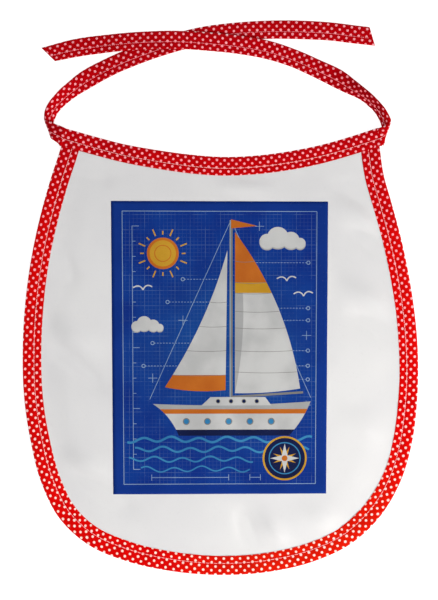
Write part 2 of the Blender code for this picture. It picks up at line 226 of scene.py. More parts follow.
# How far in the tape reaches and its rows' distance, in mm, at shares of the way round the rim from
# the left corner to the right one, and of the way along the neckline from right to left
SIDE_WIDTHS = [
    (0.00, 11.7), (0.12, 11.6), (0.16, 11.9), (0.26, 12.1), (0.30, 12.5), (0.37, 12.4),
    (0.40, 12.7), (0.45, 12.5), (0.50, 12.2), (0.56, 12.4), (0.60, 12.2), (0.64, 12.7),
    (0.68, 12.2), (0.70, 12.0), (0.74, 12.3), (0.78, 12.0), (0.81, 12.1), (0.85, 11.8),
    (0.90, 12.0), (1.00, 12.3),
]
NECK_WIDTHS = [
    (0.00, 11.5), (0.15, 11.6), (0.25, 11.9), (0.50, 12.05), (0.60, 12.1), (0.70, 11.8),
    (0.85, 11.5),
]
SIDE_ROWS = [(0.0, 2.46), (0.25, 2.52), (0.5, 2.60), (0.73, 2.62), (0.8, 2.50), (1.0, 2.42)]
NECK_ROWS = [(0.0, 2.46)]

# The tape is cut a little off the true bias, so its rows of dots run out over the fold one by one:
# how many have at shares of the way round the rim, along the neckline and along each tie
SIDE_ROWS_OUT = [
    (0.00, -1.44), (0.04, -1.10), (0.14, -0.30), (0.18, -0.05), (0.23, 0.48), (0.28, 0.78),
    (0.33, 1.12), (0.37, 1.50), (0.445, 2.12), (0.49, 2.79), (0.54, 3.01), (0.59, 3.56),
    (0.635, 3.83), (0.68, 4.42), (0.73, 4.74), (0.78, 4.91), (0.825, 5.35), (0.87, 5.81),
    (0.94, 6.25), (1.00, 6.70),
]
NECK_ROWS_OUT = [
    (0.00, -0.23), (0.18, -0.19), (0.27, -0.11), (0.35, -0.03), (0.44, 0.02), (0.53, 0.13),
    (0.61, 0.21), (0.70, 0.36), (0.78, 0.54), (0.87, 0.61), (1.00, 0.75),
]
LEFT_ROWS_OUT = [
    (0.00, 0.75), (0.31, 0.89), (0.38, 0.82), (0.45, 0.65), (0.52, 0.42), (0.59, 0.24),
    (0.66, 0.40), (0.73, 0.60), (0.80, 0.67), (0.87, 0.75), (1.00, 0.78),
]
RIGHT_ROWS_OUT = [
    (0.00, 0.77), (0.32, 0.71), (0.39, 0.61), (0.46, 0.56), (0.53, 0.40), (0.60, 0.05),
    (0.66, -0.13), (0.76, -0.20), (0.87, -0.11), (1.00, -0.08),
]

# How much of its spare width each tie takes up by arching, where its edges stand close
LEFT_ARCH = 0.05
RIGHT_ARCH = 0.0
# How much painted shade darkens each tie and pinks its dots, at shares of the way along it
LEFT_PAINTED_SHADE = [(0.0, 0.0), (0.02, 0.22), (0.06, 0.22), (0.085, 0.0)]
RIGHT_PAINTED_SHADE = [(0.06, 0.0), (0.085, 0.36), (0.16, 0.32), (0.24, 0.08), (0.30, 0.0)]
# How much painted shade darkens the red alone at shares of the way round the rim and the neckline
SIDE_PAINTED_SHADE = [(0.0, 0.12), (0.08, 0.13), (0.15, 0.16), (0.27, 0.16), (0.33, 0.03), (0.36, 0.0)]
NECK_PAINTED_SHADE = [(0.0, 0.12), (0.25, 0.10), (0.5, 0.05), (0.8, 0.10)]

# One stitch and the thread it is sewn with, the share of its length left free at each end, how far
# it slants, and its mesh's rings and points round each
STITCH = 2.7 * MM
THREAD = 0.38 * MM
STITCH_GAP = 0.06
STITCH_SLANT = 0.12 * MM
STITCH_RINGS = 7
THREAD_POINTS = 6
# Where the side seam starts and ends, from the side tape's ends
SIDE_SEAM_FROM = 8 * MM

# Threads of each woven cloth, from one to the next
TAPE_GRAIN = 0.38 * MM
FACE_GRAIN = 0.42 * MM

# Distance from one point of the cloth's outline to the next, and the cross product under which two
# pieces of it count as parallel
OUTLINE_STEP = 5 * MM
PARALLEL = 1e-15
# The face: height of its upper side under the tape, thickness, how far inside the tape's outer
# fold it ends, and the step of its mesh and its distance from the outline
FACE_TOP = 2.7 * MM
FACE_CLOTH = 0.4 * MM
FACE_INSET = 1.0 * MM
FACE_STEP = 2.0 * MM
FACE_MARGIN = 0.8 * MM
# The towelling: gap under the face, height of its underside where the tape holds it, where that
# ends from its outline and over what length, its free height, size of its loops and of its tufts,
# and the same three as for the face
TOWEL_GAP = 0.15 * MM
TOWEL_HELD = 0.75 * MM
TOWEL_FREE_FROM = 11.2 * MM
TOWEL_FREE_OVER = 2.5 * MM
TOWEL_LOW = 0.25 * MM
LOOP = 1.5 * MM
TUFT = 5.5 * MM
TOWEL_INSET = 1.3 * MM
TOWEL_STEP = 1.15 * MM
TOWEL_MARGIN = 0.5 * MM

# The printed picture's half width and half height in mm on its own drawing, and its corners in the
# photograph, from the lower left one anticlockwise
PRINT_HALF = (70.6, 96.4)
PRINT_CORNERS = [(113.3, 494.3), (326.0, 493.3), (328.0, 201.7), (111.0, 201.0)]
# The drawn field's half width and half height, inside its margin
FIELD_HALF = (63.4, 89.8)
# Step of the print's mesh in mm, the place where its blue is lightest, and how far above the cloth
# the ink's upper and lower sides are
PRINT_STEP = 2.0
PRINT_MIDDLE = (0.004, -0.002, 0.003)
INK_TOP = 0.10 * MM
INK_UNDER = 0.04 * MM


def from_photo(x, y):
    """The place on the bib of one pixel of the photograph."""
    return (x - ZERO_AT[0]) * PIXEL, (ZERO_AT[1] - y) * PIXEL


# Lines


def curve_through(points, steps=8):
    """A smooth curve through the points, with that many steps from each point to the next."""
    points = np.array(points, dtype=float)
    spans = np.diff(points, axis=0)
    chords = np.linalg.norm(spans, axis=1)[:, None]
    slopes = spans / chords
    inner = (slopes[:-1] * chords[1:] + slopes[1:] * chords[:-1]) / (chords[:-1] + chords[1:])
    tangents = np.vstack([slopes[:1], inner, slopes[-1:]])
    t = np.linspace(0, 1, steps + 1)[1:, None]
    line = [points[:1]]
    for i, chord in enumerate(chords):
        a, b = points[i], points[i + 1]
        p, q = a + tangents[i] * chord / 3, b - tangents[i + 1] * chord / 3
        line.append(a * (1 - t) ** 3 + 3 * p * t * (1 - t) ** 2 + 3 * q * t**2 * (1 - t) + b * t**3)
    return np.vstack(line)


def distances(line):
    """How far along the line each of its points is."""
    return np.concatenate([[0.0], np.cumsum(np.linalg.norm(np.diff(line, axis=0), axis=1))])


def at_distances(line, travelled, wanted):
    """The points of the line at the wanted distances along it."""
    return np.stack([np.interp(wanted, travelled, part) for part in line.T], axis=1)


def steps_to(length, step):
    """Even distances from 0 to the length, about step apart."""
    return np.linspace(0, length, round(length / step) + 1)


def evenly(line, step):
    """The line again, with its points evenly spaced and about step apart."""
    travelled = distances(line)
    return at_distances(line, travelled, steps_to(travelled[-1], step))


def left_of(way):
    """The level direction a quarter turn to the left."""
    return np.array([-way[1], way[0]])


def edges_of(shape):
    """Each point of a closed shape, with the next one."""
    return zip(shape, np.roll(shape, -1, axis=0))


def read_off(table, share):
    """The table's value at each share: even change between its entries, and none beyond them."""
    return np.interp(share, *zip(*table))


def inward(line):
    """At each point, the level direction to the left of the way the line runs."""
    along = np.gradient(line, axis=0)
    across = np.stack([-along[:, 1], along[:, 0]], axis=1)
    return across / np.linalg.norm(across, axis=1)[:, None]


def unit(vectors):
    return vectors / np.linalg.norm(vectors, axis=-1, keepdims=True)


def eased(share):
    """0 to 1, starting and ending gently."""
    share = np.clip(share, 0.0, 1.0)
    return share * share * (3 - 2 * share)


def waves(travelled, *parts):
    """A smooth uneven wave along a line, as a sum of (wavelength, height, phase)."""
    return sum(tall * np.sin(2 * math.pi * travelled / long + phase) for long, tall, phase in parts)


# Colours


# Only the dots and the thread are at full white, which the studio's light allows for
CLOTH_LEVEL = 0.86


def rgb(red, green, blue, level=CLOTH_LEVEL):
    """A linear colour from the 0 to 255 values of a screen colour, at that share of full white."""
    shares = [c / 255 for c in (red, green, blue)]
    linear = [c / 12.92 if c <= 0.04 else ((c + 0.055) / 1.055) ** 2.4 for c in shares]
    return (*(level * c for c in linear), 1.0)


def bright(red, green, blue):
    return rgb(red, green, blue, 1.0)


# Red: at the hem and sides, towards the neck, and darker for the mottle, weave and painted shade
TAPE_REDS = [rgb(242, 6, 3), rgb(199, 1, 12), rgb(156, 0, 7)]
# Reds for painted warm light on the hem, painted shade in the rolled corners, and dye rubbed thin
PAINTED_WARM_LIGHT_AT = (0.058, -0.135, 0.003)
PAINTED_WARM_LIGHT_RED = rgb(242, 28, 4)
PAINTED_SHADE_RED = rgb(48, 0, 8)
RUBBED_RED = rgb(250, 120, 120)
# Dots: at the hem in two tones, towards the neck, painted light on the fold, and in painted shade
DOT_WHITES = [bright(255, 226, 214), bright(255, 198, 190)]
DOT_PINK = bright(255, 158, 170)
DOT_PAINTED_LIGHT = bright(255, 248, 248)
DOT_IN_PAINTED_SHADE = bright(255, 100, 112)
# Two tones and a shade of each cloth and of the thread
FACE_WHITES = [rgb(230, 229, 229), rgb(236, 235, 234), rgb(196, 195, 195)]
TOWEL_WHITES = [rgb(240, 239, 236), rgb(247, 246, 244), rgb(190, 188, 184)]
THREAD_TINTS = [bright(255, 200, 200), bright(255, 216, 212), bright(226, 124, 128)]
THREAD_PINK = bright(255, 120, 138)
FLOOR_GREYS = [rgb(168, 168, 168), rgb(176, 176, 175)]
FLOOR_GLOW = 0.88


# Shader building


class Finish:
    """One material's shader nodes. Every value may be a number or another node's output."""

    def __init__(self, name):
        self.material = bpy.data.materials.new(name)
        self.material.use_nodes = True
        self.tree = self.material.node_tree
        self.shader = self.tree.nodes["Principled BSDF"]
        # The place on the object, which is the place in the row frame
        self.place = self.node("ShaderNodeTexCoord", {}).outputs["Object"]

    def fill(self, made, inputs):
        """Inputs by name or number, each another node's output or a value."""
        for name, value in inputs.items():
            if isinstance(value, bpy.types.NodeSocket):
                self.tree.links.new(value, made.inputs[name])
            else:
                made.inputs[name].default_value = value

    def node(self, kind, inputs, **settings):
        made = self.tree.nodes.new(kind)
        for name, value in settings.items():
            setattr(made, name, value)
        self.fill(made, inputs)
        return made

    def math(self, operation, *values):
        made = self.node("ShaderNodeMath", dict(enumerate(values)), operation=operation)
        return made.outputs[0]

    def product(self, first, *others):
        for other in others:
            first = self.math("MULTIPLY", first, other)
        return first

    def total(self, first, *others):
        for other in others:
            first = self.math("ADD", first, other)
        return first

    def minus(self, first, second):
        return self.math("SUBTRACT", first, second)

    def ramp(self, value, start, end, low=0.0, high=1.0):
        """low up to start, high from end, and a soft step between them."""
        inputs = {"Value": value, "From Min": start, "From Max": end, "To Min": low, "To Max": high}
        return self.node("ShaderNodeMapRange", inputs, interpolation_type="SMOOTHSTEP").outputs[0]

    def mix(self, share, first, second):
        made = self.node("ShaderNodeMix", {0: share, 6: first, 7: second}, data_type="RGBA")
        return made.outputs[2]

    def noise(self, size, detail=2.0, roughness=0.5):
        """Smooth noise from 0 to 1 whose lumps are about that size across, in metres."""
        inputs = {"Scale": 1.0 / size, "Detail": detail, "Roughness": roughness}
        made = self.node("ShaderNodeTexNoise", {"Vector": self.place, **inputs})
        return made.outputs["Fac"]

    def axes(self, place):
        return self.node("ShaderNodeSeparateXYZ", {0: place}).outputs

    def away_from(self, other):
        inputs = {0: self.place, 1: other}
        return self.node("ShaderNodeVectorMath", inputs, operation="DISTANCE").outputs["Value"]

    def on_map(self, name):
        """Where a point is on that UV map: its two coordinates."""
        return self.axes(self.node("ShaderNodeUVMap", {}, uv_map=name).outputs[0])[:2]

    def attribute(self, name):
        return self.node("ShaderNodeAttribute", {}, attribute_name=name).outputs["Fac"]

    def bump(self, height, distance, strength, under=None):
        inputs = {"Height": height, "Distance": distance, "Strength": strength}
        if under:
            inputs["Normal"] = under
        return self.node("ShaderNodeBump", inputs).outputs["Normal"]

    def weave(self, u, v, pitch):
        """Plain weave from 0 to 1 with threads along u and v, that far apart."""
        turn = 2 * math.pi / pitch
        ribs = [self.math("SINE", self.product(x, turn / 2)) for x in (u, v)]
        tall = [self.math("ABSOLUTE", rib) for rib in ribs]
        over = self.math("GREATER_THAN", self.product(ribs[0], ribs[1]), 0.0)
        first = self.product(over, tall[0])
        second = self.product(self.minus(1.0, over), tall[1])
        return self.total(first, second)

    def done(self, colour, roughness, normal, specular, sheen=0.0):
        self.fill(self.shader, {
            "Base Color": colour, "Roughness": roughness, "Normal": normal,
            "Specular IOR Level": specular, "Sheen Weight": sheen, "Sheen Roughness": 0.5,
        })
        return self.material


# Materials


def dots(f, u, v):
    """How much of a dot there is at each place on the tape: staggered, and slightly uneven."""
    # Two slanted coordinates that are whole numbers on the lines between the dots
    along = f.math("DIVIDE", u, DOT_PITCH)
    across = f.math("DIVIDE", v, 2 * DOT_ROW)
    slants = f.total(along, across), f.minus(along, across)
    cells = [f.math("FLOOR", s) for s in slants]
    offsets = [f.minus(f.minus(s, c), 0.5) for s, c in zip(slants, cells)]
    cell = f.node("ShaderNodeCombineXYZ", dict(enumerate(cells))).outputs[0]
    chance = f.node("ShaderNodeTexWhiteNoise", {"Vector": cell}).outputs["Color"]
    chances = [f.minus(c, 0.5) for c in f.node("ShaderNodeSeparateColor", {0: chance}).outputs]
    near = f.product(f.total(*offsets), DOT_PITCH / 2), f.product(f.minus(*offsets), DOT_ROW)
    near = [f.total(x, f.product(c, DOT_STRAY)) for x, c in zip(near, chances)]
    away = f.math("SQRT", f.total(*(f.product(x, x) for x in near)))
    ragged = f.product(f.minus(f.noise(0.5 * MM), 0.5), DOT_RAGGED)
    radius = f.total(DOT / 2, f.product(chances[2], DOT_UNEVEN), ragged)
    return f.ramp(f.minus(radius, away), -0.07 * MM, 0.09 * MM)


def dotted_tape():
    """Red cotton cut on the bias, printed with white dots."""
    f = Finish("dotted_bias_tape")
    u, v = f.on_map("tape")
    height = f.axes(f.place)[1]

    # The red is a deeper crimson towards the neck, and mottled
    red = f.mix(f.ramp(height, 0.04, 0.175), *TAPE_REDS[:2])
    # Painted warm light: a warmer red round one place on the hem, on the side of the warm key light
    red = f.mix(f.ramp(f.away_from(PAINTED_WARM_LIGHT_AT), 0.03, 0.105, 1.0, 0.0), red, PAINTED_WARM_LIGHT_RED)
    mottle = f.noise(9 * MM, 4.0, 0.6)
    red = f.mix(f.ramp(mottle, 0.35, 0.75, 0.0, 0.28), red, TAPE_REDS[2])
    # The threads run at 45 degrees to the tape
    slanted = [f.product(x, 0.7071) for x in (f.total(u, v), f.minus(u, v))]
    weave = f.weave(*slanted, TAPE_GRAIN)
    red = f.mix(f.ramp(weave, 0.0, 0.7, 0.22, 0.0), red, TAPE_REDS[2])
    # Painted shade on the red alone, on the upper left side and along the neck
    red = f.mix(f.attribute("red_painted_shade"), red, TAPE_REDS[2])
    # Rubbed thinner along the fold
    from_fold = f.attribute("from_fold")
    fold = f.ramp(from_fold, 0.0, 1.4 * MM, 1.0, 0.0)
    rubbed = f.product(fold, f.ramp(f.noise(1.6 * MM, 3.0), 0.45, 0.75))
    red = f.mix(f.product(rubbed, 0.16), red, RUBBED_RED)

    stained = f.ramp(f.noise(3 * MM, 3.0), 0.4, 0.8, 0.0, 0.35)
    white = f.mix(stained, *DOT_WHITES)
    white = f.mix(f.ramp(height, -0.14, 0.10, 0.0, 0.9), white, DOT_PINK)
    # Painted light: the dots on the fold are whitened as if lit
    white = f.mix(f.ramp(from_fold, 0.15 * MM, 0.95 * MM, 0.95, 0.0), white, DOT_PAINTED_LIGHT)
    # Painted shade in the rolled corners, which also turns the dots a stronger pink
    painted_shade = f.attribute("painted_shade")
    red = f.mix(painted_shade, red, PAINTED_SHADE_RED)
    white = f.mix(f.product(painted_shade, 1.5), white, DOT_IN_PAINTED_SHADE)
    colour = f.mix(f.product(dots(f, u, v), 0.96), red, white)

    lumps = f.bump(f.noise(5 * MM, 3.0), 0.35 * MM, 0.6)
    normal = f.bump(weave, 0.09 * MM, 0.7, lumps)
    return f.done(colour, f.ramp(weave, 0.0, 1.0, 0.95, 0.8), normal, specular=0.02)


def face_cloth():
    """Smooth white cloth with a fine plain grain."""
    f = Finish("white_face_cloth")
    weave = f.weave(*f.axes(f.place)[:2], FACE_GRAIN)
    slub = f.noise(2.2 * MM, 4.0, 0.65)
    tint = f.ramp(f.noise(60 * MM, 3.0), 0.35, 0.7)
    colour = f.mix(tint, *FACE_WHITES[:2])
    colour = f.mix(f.ramp(weave, 0.0, 0.8, 0.10, 0.0), colour, FACE_WHITES[2])
    colour = f.mix(f.ramp(slub, 0.55, 0.8, 0.0, 0.12), colour, FACE_WHITES[2])
    soft = f.bump(f.noise(14 * MM, 3.0, 0.55), 0.5 * MM, 0.35)
    normal = f.bump(f.total(weave, f.product(slub, 0.8)), 0.05 * MM, 0.6, soft)
    return f.done(colour, f.ramp(weave, 0.0, 1.0, 0.86, 0.7), normal, sheen=0.15, specular=0.25)


def towelling():
    """White looped cotton."""
    f = Finish("white_towelling")
    inputs = {"Vector": f.place, "Scale": 1 / (1.1 * MM), "Randomness": 0.9}
    away = f.node("ShaderNodeTexVoronoi", inputs).outputs["Distance"]
    curl = f.noise(0.5 * MM, 3.0, 0.6)
    tint = f.ramp(f.noise(30 * MM, 3.0), 0.3, 0.7)
    colour = f.mix(tint, *TOWEL_WHITES[:2])
    colour = f.mix(f.ramp(away, 0.35, 0.75, 0.0, 0.45), colour, TOWEL_WHITES[2])
    height = f.total(f.product(away, -1.0), f.product(curl, 0.5))
    normal = f.bump(height, 0.45 * MM, 0.8)
    return f.done(colour, 0.95, normal, sheen=0.35, specular=0.1)


def thread():
    """Polyester sewing thread, twisted from two strands."""
    f = Finish("pale_sewing_thread")
    u, v = f.on_map("thread")
    twist = f.math("SINE", f.product(f.total(f.product(u, 1 / (0.42 * MM)), v), 2 * math.pi))
    height = f.axes(f.place)[1]
    colour = f.mix(f.ramp(f.noise(4 * MM), 0.35, 0.65), *THREAD_TINTS[:2])
    colour = f.mix(f.ramp(height, 0.12, 0.165, 0.0, 0.85), colour, THREAD_PINK)
    # Painted shade in the grooves of the twist
    colour = f.mix(f.ramp(twist, -1.0, 0.2, 0.35, 0.0), colour, THREAD_TINTS[2])
    return f.done(colour, 0.45, f.bump(twist, 0.05 * MM, 0.8), sheen=0.1, specular=0.5)


def floor_paper():
    """A pale studio surface that shines by itself more than it answers the light."""
    f = Finish("pale_studio_surface")
    grain = f.noise(1.5 * MM, 4.0, 0.6)
    colour = f.mix(f.ramp(grain, 0.3, 0.7), *FLOOR_GREYS)
    f.fill(f.shader, {"Emission Color": (1.0, 1.0, 1.0, 1.0), "Emission Strength": FLOOR_GLOW})
    return f.done(colour, 0.9, f.bump(grain, 0.03 * MM, 0.3), specular=0.1)


# Meshes


def put(data):
    """A new object in the scene, with its data's own name."""
    obj = bpy.data.objects.new(data.name, data)
    bpy.context.scene.collection.objects.link(obj)
    return obj


def add_piece(mesh, *finishes):
    for finish in finishes:
        mesh.materials.append(finish)
    return put(mesh)


def closed_mesh(name, verts, faces):
    """A smooth mesh whose faces are turned outwards."""
    mesh = bpy.data.meshes.new(name)
    mesh.from_pydata(verts.tolist(), [], faces)
    bm = bmesh.new()
    bm.from_mesh(mesh)
    bmesh.ops.recalc_face_normals(bm, faces=bm.faces)
    bm.to_mesh(mesh)
    bm.free()
    mesh.shade_smooth()
    return mesh


def tubes_mesh(name, rings, maps, map_name):
    """Closed tubes in one mesh, kept above the surface: points as (tube, ring, point, xyz), and
    their UV map alike."""
    tubes, count, around = rings.shape[:3]
    starts = np.arange(tubes)[:, None, None] * count * around
    rows = starts + np.arange(count - 1)[:, None] * around
    k = np.arange(around)
    m = (k + 1) % around
    quads = np.stack([rows + k, rows + m, rows + around + m, rows + around + k], axis=-1)
    caps = np.concatenate([starts[:, 0] + k[::-1], starts[:, 0] + (count - 1) * around + k])
    rings[..., 2] = np.maximum(rings[..., 2], 0.0)
    faces = quads.reshape(-1, 4).tolist() + caps.tolist()
    mesh = closed_mesh(name, rings.reshape(-1, 3), faces)
    corners = np.empty(len(mesh.loops), dtype=np.int32)
    mesh.loops.foreach_get("vertex_index", corners)
    layer = mesh.uv_layers.new(name=map_name)
    layer.data.foreach_set("uv", maps.reshape(-1, 2)[corners].ravel())
    return mesh


# Tapes


class Tape:
    """The middle surface of a tape between its fold edge and its open edge, ring by ring."""

    def __init__(self, folds, opens, width, arch=0.0, from_start=0.0, backwards=False):
        self.folds, self.opens = folds, opens
        self.width = np.broadcast_to(width, len(folds))
        middle = (folds + opens) / 2
        self.travelled = distances(middle)
        self.mapped_from, self.backwards = from_start, backwards
        chord = opens - folds
        along = unit(np.gradient(middle, axis=0))
        normal = unit(np.cross(along, chord))
        self.facing = np.sign(normal[0, 2])
        normal = normal * self.facing
        length = np.linalg.norm(chord, axis=1)
        spare = np.maximum(self.width - length, 0.0)
        # Where the edges stand closer than the tape is wide, the cloth between them bows up
        bow = arch * np.sqrt(ARC_RISE * length * spare) * normal[:, 2]
        self.bow = normal * bow[:, None]
        # How far the fold edge runs ahead of the open edge, where the ring is slanted
        self.ahead = np.einsum("ij,ij->i", folds - opens, along)

    def surface(self, shares):
        """Points and upward directions at those shares of the width: (ring, share, xyz) each."""
        t = np.broadcast_to(shares, (len(self.folds), np.shape(shares)[-1]))[..., None]
        folds, opens, bow = (part[:, None] for part in (self.folds, self.opens, self.bow))
        points = folds + (opens - folds) * t + bow * (BOW_SHAPE * t * t * (1 - t))
        across = (opens - folds) + bow * BOW_SHAPE * (2 * t - 3 * t * t)
        along = np.gradient(points, axis=0)
        return points, unit(np.cross(along, across)) * self.facing

    def along_map(self, shares):
        """Distance along the cloth itself at each point, allowing for slanted rings."""
        along = self.travelled[:, None] + self.ahead[:, None] * (0.5 - shares)
        return self.mapped_from + (-along if self.backwards else along)


def dress(name, tape, section, heights, pattern, finish):
    """The tape's piece: the section carried along it, with its heights in mm per ring and point.
    pattern is (dot pitch, row pitch, rows of dots run out over the fold, how much painted shade
    darkens the tape, how much painted shade darkens the red alone), per ring or not."""
    tape.section, tape.heights = section, heights
    shares = np.array(section)[:, 0]
    points, normals = tape.surface(shares)
    rings = points + normals * (heights * MM)[..., None]
    pattern = (np.broadcast_to(part, len(tape.width))[:, None] for part in pattern)
    pitch, row, rows_out, painted_shade, red_painted_shade = pattern
    from_fold = shares * tape.width[:, None]
    # The cloth's own way round the fold, from the upper wing's corner to the lower wing
    steps = np.hypot(np.diff(from_fold), np.diff(heights) * MM)[:, TOP_CORNER:LOW_CORNER]
    round_fold = from_fold[:, TOP_CORNER:TOP_CORNER + 1] - np.cumsum(steps, axis=1)
    lower = round_fold[:, -1:] + from_fold[:, LOW_CORNER:LOW_CORNER + 1] - from_fold
    across = np.where(SECTION_SIDES > 0, from_fold, lower)
    across[:, TOP_CORNER + 1:LOW_CORNER + 1] = round_fold
    u = tape.along_map(shares) * DOT_PITCH / pitch
    v = (across / row + rows_out) * DOT_ROW
    mesh = tubes_mesh(name, rings[None], np.stack([u, v], axis=-1), "tape")
    for label, values in (("from_fold", from_fold), ("painted_shade", painted_shade), ("red_painted_shade", red_painted_shade)):
        values = np.broadcast_to(values, from_fold.shape).ravel()
        mesh.attributes.new(label, "FLOAT", "POINT").data.foreach_set("value", values)
    return add_piece(mesh, finish), tape


def section_heights(tape, section, seed):
    """The section's heights per ring, with the seam's dimples and the cloth's small unevenness."""
    shares, heights = np.array(section).T
    outer = np.arange(len(section)) < LINING_FROM
    travelled = tape.travelled[:, None]
    beat = 0.5 - 0.5 * np.cos(2 * math.pi * travelled / STITCH)
    puff = SEAM_PUFF * (beat - 0.5) * np.exp(-(((shares - SEAM) / SEAM_REACH) ** 2))
    wing = waves(travelled, (7.3 * MM, 0.05, seed), (11.9 * MM, 0.06, 2 * seed),
                 (23 * MM, 0.05, 3 * seed))
    free = waves(travelled, (5.1 * MM, 0.05, 5 * seed), (13.7 * MM, 0.05, seed))
    # The fold stays straight, and the free edge waves most
    change = puff + wing * eased(shares / 0.3) + free * eased((shares - 0.7) / 0.3)
    return heights + change * SECTION_SIDES * outer


def over_sides(heights, from_end):
    """The neck tape's upper wing raised near the corners, where it lies over the side tape."""
    return heights + (heights > 0) * LAP_RISE * (1 - eased((from_end - LAP) / LAP))


def under_neck(heights, from_end):
    """The side tape pressed flatter where the neck tape lies over it."""
    pressed = 1 - eased((from_end - PRESSED_FROM) / PRESSED_OVER)
    return heights * (1 - FLATTER * pressed) + HIGHER * pressed


def rest_over(places):
    """How much higher cloth lies at a point because of the tie that lies under it."""
    folds, opens = (curve_through([p[k] for p in places], 6) for k in range(2))
    middle = ((folds + opens) / 2)[:, :2]

    def lift(points):
        away = np.array([np.linalg.norm(middle - p[:2], axis=1).min() for p in points])
        return TIE_LIFT * eased((LIFTED_WITHIN - away) / LIFTED_OVER)

    return lift


def rim_tape(name, line, tables, pitch, seed, finish, squeeze):
    """A folded tape round the rim. line runs with the cloth on its left. tables are its widths, its
    rows' distances, its rows run out and its painted shade on the red. squeeze changes the section's
    heights in mm, given how far each ring is from the nearer end."""
    share = np.linspace(0, 1, len(line))
    width, row, rows_out, red_painted_shade = (read_off(table, share) for table in tables)
    width = width * MM
    steps = inward(line)
    middle = np.full(len(line), RIM_MIDDLE)
    folds = np.column_stack([line - steps * PROUD, middle])
    opens = np.column_stack([line + steps * width[:, None], middle])
    tape = Tape(folds, opens, width + PROUD)
    from_end = np.minimum(tape.travelled, tape.travelled[-1] - tape.travelled)
    heights = squeeze(section_heights(tape, BOUND_SECTION, seed), from_end[:, None])
    pattern = pitch, row * MM, rows_out, 0.0, red_painted_shade
    return dress(name, tape, BOUND_SECTION, heights, pattern, finish)


def tie_tape(name, places, arch, mapped, rows_out, painted_shade, seed, finish, lift=None):
    """A free tie: the tape folded shut, from inside the neck tape's end to its cut end. mapped is
    where its dots start along the cloth, and whether they run backwards from there."""
    edges = [curve_through([p[k] for p in places], 10) for k in range(2)]
    pace = np.maximum(*(np.linalg.norm(np.diff(edge, axis=0), axis=1) for edge in edges))
    travelled = np.concatenate([[0.0], np.cumsum(pace)])
    wanted = steps_to(travelled[-1], RING_STEP)
    folds, opens = (at_distances(edge, travelled, wanted) for edge in edges)
    spread = unit(folds - opens) * PROUD / 2
    folds, opens = folds + spread, opens - spread
    if lift:
        folds[:, 2] += lift(folds)
        opens[:, 2] += lift(opens)
    tape = Tape(folds, opens, TIE_WIDTH, arch, *mapped)
    # Its section at the root is the neck tape's own, a little outside it
    shut = section_heights(tape, TIE_SECTION, seed)
    root = over_sides(section_heights(tape, BOUND_SECTION, seed), 0.0) + ROOT_OVER
    heights = root + (shut - root) * eased(tape.travelled / SHUT_OVER)[:, None]
    share = tape.travelled / tape.travelled[-1]
    pattern = TIE_PITCH, TIE_ROW, read_off(rows_out, share), read_off(painted_shade, share), 0.0
    return dress(name, tape, TIE_SECTION, heights, pattern, finish)


def seam(name, tape, point, finish, ends):
    """Stitches along the tape on one of its sides, at one point of its section."""
    travelled = tape.travelled
    share = tape.section[point][0]
    points, normals = (part[:, 0] for part in tape.surface(np.array([share])))
    surface = points + normals * (tape.heights[:, point] * MM)[:, None]
    surface[:, 2] = np.maximum(surface[:, 2], 0.0)
    count = int((travelled[-1] - 2 * ends) / STITCH)
    shares = np.linspace(0.0, 1.0, STITCH_RINGS)
    starts = ends + STITCH * np.arange(count)
    within = STITCH_GAP + (1 - 2 * STITCH_GAP) * shares
    wanted = (starts[:, None] + STITCH * within).ravel()
    centres = at_distances(surface, travelled, wanted)
    ups = unit(at_distances(normals * SECTION_SIDES[point], travelled, wanted))
    alongs = unit(at_distances(np.gradient(surface, axis=0), travelled, wanted))
    sideways = np.cross(alongs, ups)
    # The thread comes up out of the cloth and goes down into it, and is thickest between
    swelling = np.sin(math.pi * shares) ** 0.5
    rise, thick, slant = (
        np.tile(part, count)[:, None]
        for part in (swelling * 1.25 - 0.45, 0.55 + 0.45 * swelling, shares - 0.5))
    centres = centres + ups * (rise * THREAD / 2) + sideways * (slant * STITCH_SLANT)
    turns = np.linspace(0, 2 * math.pi, THREAD_POINTS, endpoint=False)
    round_it = [(turn(turns) * (thick * THREAD / 2))[..., None] for turn in (np.cos, np.sin)]
    rings = centres[:, None] + sideways[:, None] * round_it[0] + ups[:, None] * round_it[1]
    shape = count, STITCH_RINGS, THREAD_POINTS
    maps = np.empty((*shape, 2))
    maps[..., 0] = wanted.reshape(count, STITCH_RINGS, 1)
    maps[..., 1] = np.arange(THREAD_POINTS) / THREAD_POINTS
    return add_piece(tubes_mesh(name, rings.reshape(*shape, 3), maps, "thread"), finish)


def both_seams(prefix, tape, finish, ends=0.0):
    """A tape's stitches above and below."""
    sides = ("_seam_above", TOP_SEAM), ("_seam_below", LOW_SEAM)
    return [seam(prefix + side, tape, point, finish, ends) for side, point in sides]


# Cloth panels


def cross(a, b):
    return a[0] * b[1] - a[1] * b[0]


def crossing(first, second):
    """Where two level lines cross: the segment numbers on each, and the point."""
    for i, (a, b) in enumerate(zip(first, first[1:])):
        for j, (c, d) in enumerate(zip(second, second[1:])):
            turn = cross(b - a, d - c)
            if abs(turn) < PARALLEL:
                continue
            t, u = cross(c - a, d - c) / turn, cross(c - a, b - a) / turn
            if 0 <= t <= 1 and 0 <= u <= 1:
                return i, j, a + (b - a) * t
    raise ValueError("the two lines don't cross")


